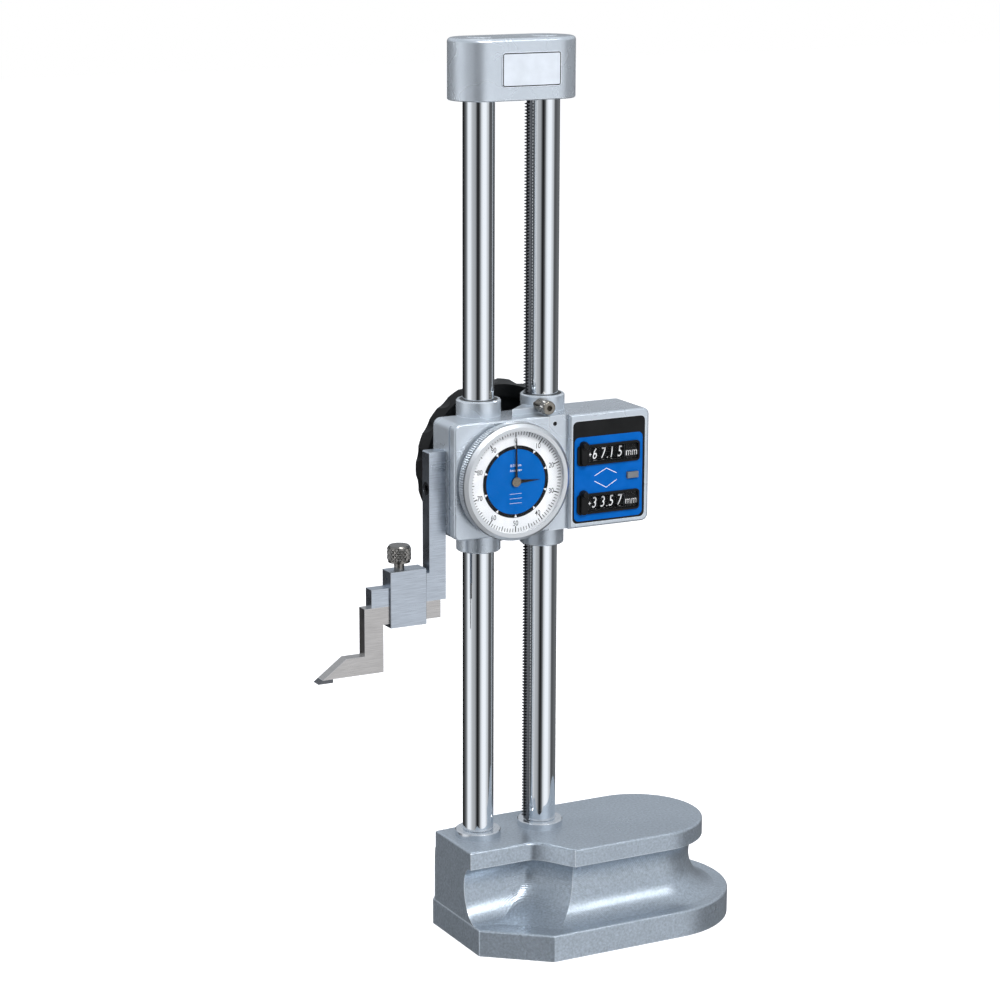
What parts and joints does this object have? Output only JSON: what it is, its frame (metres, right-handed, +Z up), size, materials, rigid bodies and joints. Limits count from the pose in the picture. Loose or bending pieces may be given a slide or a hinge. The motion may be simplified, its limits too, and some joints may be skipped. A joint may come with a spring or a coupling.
{
  "type": "height gauge",
  "caption": "Twin-column dial height gauge on a grip base: a rack-driven slider with dial, digit counters and a clamped carbide scriber.",
  "frame": {"origin": "on the base's lapped underside, midway between the two column axes", "axes": "+Z up the columns, +X towards the counter side, +Y to the back; the dial faces -Y"},
  "size_m": [0.261, 0.1086, 0.5193],
  "materials": {
    "cast_paint": "satin",
    "satin_paint": "satin",
    "polished_steel": "polished",
    "rack_steel": "satin",
    "black_steel": "satin",
    "label_white": "satin",
    "nickel": "satin",
    "chrome_bezel": "satin",
    "crystal": "gloss",
    "dial_print": "matte",
    "brass": "satin",
    "brushed_steel": "brushed",
    "ground_steel": "ground",
    "carbide": "ground",
    "black_plastic": "satin",
    "grey_plastic": "satin",
    "blue_overlay": "satin",
    "lens": "gloss",
    "number_black": "matte"
  },
  "bodies": {
    "stand": {"base_casting": "cast_paint", "column_collars": "polished_steel", "left_column": "polished_steel", "right_column": "polished_steel", "rack": "rack_steel", "column_screws": "black_steel", "head_block": "satin_paint", "column_caps": "satin_paint", "head_grub_screws": "black_steel", "head_plate": "label_white"},
    "slider": {"slider_body": "satin_paint", "column_bushes": "black_steel", "front_plate": "satin_paint", "dial_case": "satin_paint", "pinion_cover": "satin_paint", "cover_screws": "nickel", "counter_housing": "satin_paint", "shoulder_screw": "black_steel", "counter_panel": "black_plastic", "counter_overlay": "blue_overlay", "window_frames": "black_plastic", "window_lenses": "lens", "upper_number_drums": "number_black", "lower_number_drums": "number_black", "drum_shafts": "brushed_steel", "counter_back_cover": "satin_paint", "counter_cover_screws": "nickel", "jaw_arm": "brushed_steel", "arm_screw": "black_steel"},
    "feed_wheel": {"feed_handwheel": "black_plastic", "drive_shaft": "brushed_steel", "feed_pinion": "rack_steel", "handwheel_screw": "nickel", "drive_wheel": "brass"},
    "bezel": {"dial_bezel": "chrome_bezel", "dial_crystal": "crystal", "dial_face": "dial_print"},
    "long_hand": {"long_pointer": "black_steel", "pointer_spindle": "brass"},
    "short_hand": {"short_pointer": "black_steel", "short_pointer_tube": "brass", "tube_wheel": "brass"},
    "arbor": {"dial_arbor": "brushed_steel", "arbor_wheels": "brass"},
    "lock": {"lock_screw": "nickel"},
    "clamp": {"clamp_box": "brushed_steel"},
    "clamp_knob": {"clamp_screw": "nickel"},
    "scriber_bar": {"scriber": "ground_steel", "carbide_tip": "carbide"},
    "upper_reset": {"upper_reset_knob": "black_plastic"},
    "lower_reset": {"lower_reset_knob": "black_plastic"},
    "selector": {"selector_button": "grey_plastic"}
  },
  "joints": [
    {"name": "slider_travel", "type": "slide", "parent": "stand", "child": "slider", "axis": [0, 0, 1], "range_m": [-0.167, 0.167]},
    {"name": "feed_turn", "type": "hinge", "parent": "slider", "child": "feed_wheel", "pos_m": [0.00131, 0, 0.2745], "axis": [0, 1, 0], "range_deg": [-1115, 1115]},
    {"name": "bezel_turn", "type": "hinge", "parent": "slider", "child": "bezel", "pos_m": [-0.0124, 0, 0.2745], "axis": [0, 1, 0], "continuous": true},
    {"name": "long_hand_turn", "type": "hinge", "parent": "slider", "child": "long_hand", "pos_m": [-0.0124, 0, 0.2745], "axis": [0, 1, 0], "range_deg": [-60130, 60130]},
    {"name": "short_hand_turn", "type": "hinge", "parent": "slider", "child": "short_hand", "pos_m": [-0.0124, 0, 0.2745], "axis": [0, 1, 0], "range_deg": [-6015, 6015]},
    {"name": "arbor_turn", "type": "hinge", "parent": "slider", "child": "arbor", "pos_m": [-0.00678, 0, 0.26563], "axis": [0, 1, 0], "range_deg": [-10025, 10025]},
    {"name": "lock_turn", "type": "hinge", "parent": "slider", "child": "lock", "pos_m": [0.0124, 0, 0.313], "axis": [0, 1, 0], "range_deg": [-180, 0]},
    {"name": "clamp_slide", "type": "slide", "parent": "slider", "child": "clamp", "axis": [1, 0, 0], "range_m": [-0.0105, 0]},
    {"name": "clamp_knob_turn", "type": "hinge", "parent": "clamp", "child": "clamp_knob", "pos_m": [-0.0746, -0.0082, 0.226], "axis": [0, 0, 1], "range_deg": [0, 540]},
    {"name": "scriber_slide", "type": "slide", "parent": "clamp", "child": "scriber_bar", "axis": [1, 0, 0], "range_m": [-0.012, 0.003]},
    {"name": "upper_reset_press", "type": "slide", "parent": "slider", "child": "upper_reset", "axis": [0, 1, 0], "range_m": [0, 0.0012], "stiffness_N_per_m": 600},
    {"name": "lower_reset_press", "type": "slide", "parent": "slider", "child": "lower_reset", "axis": [0, 1, 0], "range_m": [0, 0.0012], "stiffness_N_per_m": 600},
    {"name": "selector_press", "type": "slide", "parent": "slider", "child": "selector", "axis": [0, 1, 0], "range_m": [0, 0.001], "stiffness_N_per_m": 600}
  ],
  "couplings": [
    {"joint": "feed_turn", "follows": "slider_travel", "rad_per_m": 116.36},
    {"joint": "arbor_turn", "follows": "slider_travel", "rad_per_m": -1047.2},
    {"joint": "long_hand_turn", "follows": "slider_travel", "rad_per_m": 6283.2},
    {"joint": "short_hand_turn", "follows": "slider_travel", "rad_per_m": 628.32}
  ]
}
